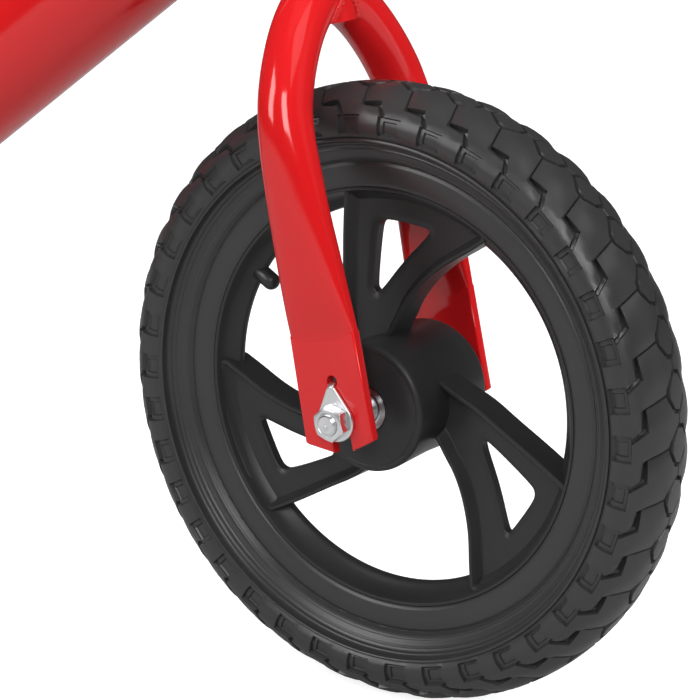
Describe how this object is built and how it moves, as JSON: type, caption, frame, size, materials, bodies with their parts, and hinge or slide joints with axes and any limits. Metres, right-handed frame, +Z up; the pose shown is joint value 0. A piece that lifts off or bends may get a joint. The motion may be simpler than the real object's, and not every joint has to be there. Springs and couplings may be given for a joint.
{
  "type": "balance bike",
  "caption": "Child's balance bike with a fat down-swept main tube, turning fork, two air tyres on plastic spoked wheels, padded saddle and swept handlebar.",
  "frame": {"origin": "on the floor, midway between the two wheel centres", "axes": "+X is forward, +Y is the rider's left, +Z is up"},
  "size_m": [0.85, 0.41, 0.5805],
  "materials": {
    "tyre_rubber": "matte",
    "tube_rubber": "matte",
    "wheel_plastic": "semi-gloss",
    "cap_plastic": "satin",
    "valve_steel": "satin",
    "bearing_steel": "ground",
    "red_paint": "gloss",
    "grip_rubber": "matte",
    "clamp_aluminium": "black anodised",
    "post_steel": "black satin",
    "plated_steel": "zinc plated",
    "saddle_shell": "satin",
    "saddle_cover": "synthetic, satin"
  },
  "bodies": {
    "frame": {"main_tube": "red_paint", "main_tube_end_plate": "red_paint", "head_tube": "red_paint", "headset_lower_cup": "bearing_steel", "headset_upper_cup": "bearing_steel", "seat_tube": "red_paint", "rear_stay_left": "red_paint", "rear_stay_right": "red_paint", "seat_clamp_collar": "clamp_aluminium", "seat_clamp_rod": "plated_steel", "seat_clamp_nut": "plated_steel", "seat_clamp_pin": "plated_steel", "rear_bearing_inner_rings": "bearing_steel", "rear_axle": "plated_steel", "rear_axle_spacers": "plated_steel", "rear_retention_washers": "plated_steel", "rear_axle_nuts": "plated_steel"},
    "fork": {"fork_leg_left": "red_paint", "fork_leg_right": "red_paint", "steerer_tube": "red_paint", "headset_crown_race": "bearing_steel", "headset_balls": "bearing_steel", "headset_upper_cone": "bearing_steel", "headset_lock_washer": "bearing_steel", "headset_locknut": "bearing_steel", "bar_clamp_collar": "clamp_aluminium", "bar_clamp_bolt": "plated_steel", "bar_clamp_nut": "plated_steel", "front_bearing_inner_rings": "bearing_steel", "front_axle": "plated_steel", "front_axle_spacers": "plated_steel", "front_retention_washers": "plated_steel", "front_axle_nuts": "plated_steel"},
    "handlebar": {"handlebar_post": "red_paint", "handlebar": "red_paint", "grip_left": "grip_rubber", "grip_right": "grip_rubber"},
    "front_wheel": {"front_tyre": "tyre_rubber", "front_inner_tube": "tube_rubber", "front_wheel_rim": "wheel_plastic", "front_valve_stem": "valve_steel", "front_valve_cap": "cap_plastic", "front_bearing_outer_rings": "bearing_steel", "front_bearing_balls": "bearing_steel", "front_bearing_shields": "bearing_steel"},
    "rear_wheel": {"rear_tyre": "tyre_rubber", "rear_inner_tube": "tube_rubber", "rear_wheel_rim": "wheel_plastic", "rear_valve_stem": "valve_steel", "rear_valve_cap": "cap_plastic", "rear_bearing_outer_rings": "bearing_steel", "rear_bearing_balls": "bearing_steel", "rear_bearing_shields": "bearing_steel"},
    "saddle": {"seat_post": "post_steel", "saddle_clamp": "plated_steel", "saddle_clamp_bolt": "plated_steel", "saddle_rails": "plated_steel", "saddle_base": "saddle_shell", "saddle_cushion": "saddle_cover"},
    "seat_lever": {"seat_clamp_lever": "clamp_aluminium"}
  },
  "joints": [
    {"name": "steering", "type": "hinge", "parent": "frame", "child": "fork", "pos_m": [0.21426, 0, 0.41308], "axis": [-0.225, 0, 0.9744], "continuous": true},
    {"name": "front_wheel_spin", "type": "hinge", "parent": "fork", "child": "front_wheel", "pos_m": [0.275, 0, 0.15], "axis": [0, 1, 0], "continuous": true},
    {"name": "rear_wheel_spin", "type": "hinge", "parent": "frame", "child": "rear_wheel", "pos_m": [-0.275, 0, 0.15], "axis": [0, 1, 0], "continuous": true},
    {"name": "handlebar_height", "type": "slide", "parent": "fork", "child": "handlebar", "axis": [-0.225, 0, 0.9744], "range_m": [-0.025, 0.04]},
    {"name": "saddle_height", "type": "slide", "parent": "frame", "child": "saddle", "axis": [-0.309, 0, 0.9511], "range_m": [-0.005, 0.035]},
    {"name": "seat_lever_turn", "type": "hinge", "parent": "frame", "child": "seat_lever", "pos_m": [-0.13986, 0.0162, 0.32727], "axis": [-0.309, 0, 0.9511], "range_deg": [0, 130]}
  ]
}
